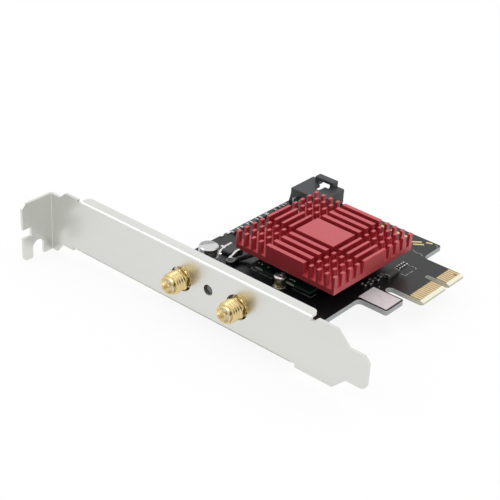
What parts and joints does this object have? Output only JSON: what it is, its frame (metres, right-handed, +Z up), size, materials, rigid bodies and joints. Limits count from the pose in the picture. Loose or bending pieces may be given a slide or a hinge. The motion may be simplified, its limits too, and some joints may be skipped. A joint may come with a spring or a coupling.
{
  "type": "wireless network card",
  "caption": "Plug-in wireless card for a desktop computer: slotted steel bracket with threaded gold antenna jacks, black board with edge contacts and a red finned heatsink.",
  "frame": {"origin": "under the middle of the card's box, level with the lowest finger of the bracket's tab", "axes": "+X along the bracket from the slotted tab to the end tongue, +Y from the bracket's outer face into the card, +Z up from the solder side to the component side"},
  "size_m": [0.121, 0.0888, 0.0216],
  "materials": {
    "bracket_steel": "satin nickel plated sheet steel",
    "screw_steel": "bright plated steel",
    "board_mask": "black semi-gloss solder mask on glass fibre",
    "gold_plate": "gold plated brass",
    "red_aluminium": "red anodised, satin",
    "black_plastic": "moulded, fine grain",
    "tinned_metal": "tinned, bright",
    "white_insulator": "smooth white insulator",
    "label_film": "plain printed film, satin",
    "module_green": "green solder mask",
    "lead_jacket": "satin black jacket",
    "chip_ceramic": "dull ceramic",
    "lamp_clear": "clear cast resin",
    "pad_grey": "soft silicone",
    "can_aluminium": "bright drawn can"
  },
  "bodies": {
    "root": {"bracket": "bracket_steel", "board_screws": "screw_steel", "main_board": "board_mask", "edge_contacts_top": "gold_plate", "edge_contacts_bottom": "gold_plate", "blank_label": "label_film", "gold_strips": "gold_plate", "status_lamp": "lamp_clear", "lamp_leads": "tinned_metal", "module_board": "module_green", "module_shield": "tinned_metal", "thermal_pad": "pad_grey", "module_socket": "black_plastic", "socket_tails": "tinned_metal", "module_standoff": "gold_plate", "module_screw": "screw_steel", "heatsink": "red_aluminium", "header_housing": "black_plastic", "header_pins": "tinned_metal", "capacitor_can": "can_aluminium", "capacitor_base": "black_plastic", "capacitor_tabs": "tinned_metal", "inductor_core": "black_plastic", "inductor_ends": "tinned_metal", "chip_bodies": "chip_ceramic", "chip_ends": "tinned_metal", "board_seats": "gold_plate", "module_seats": "gold_plate", "left_jack_body": "gold_plate", "left_jack_insulator": "white_insulator", "left_jack_contact": "gold_plate", "right_jack_body": "gold_plate", "right_jack_insulator": "white_insulator", "right_jack_contact": "gold_plate", "left_board_plug": "tinned_metal", "left_module_plug": "tinned_metal", "left_antenna_lead": "lead_jacket"}
  },
  "joints": []
}
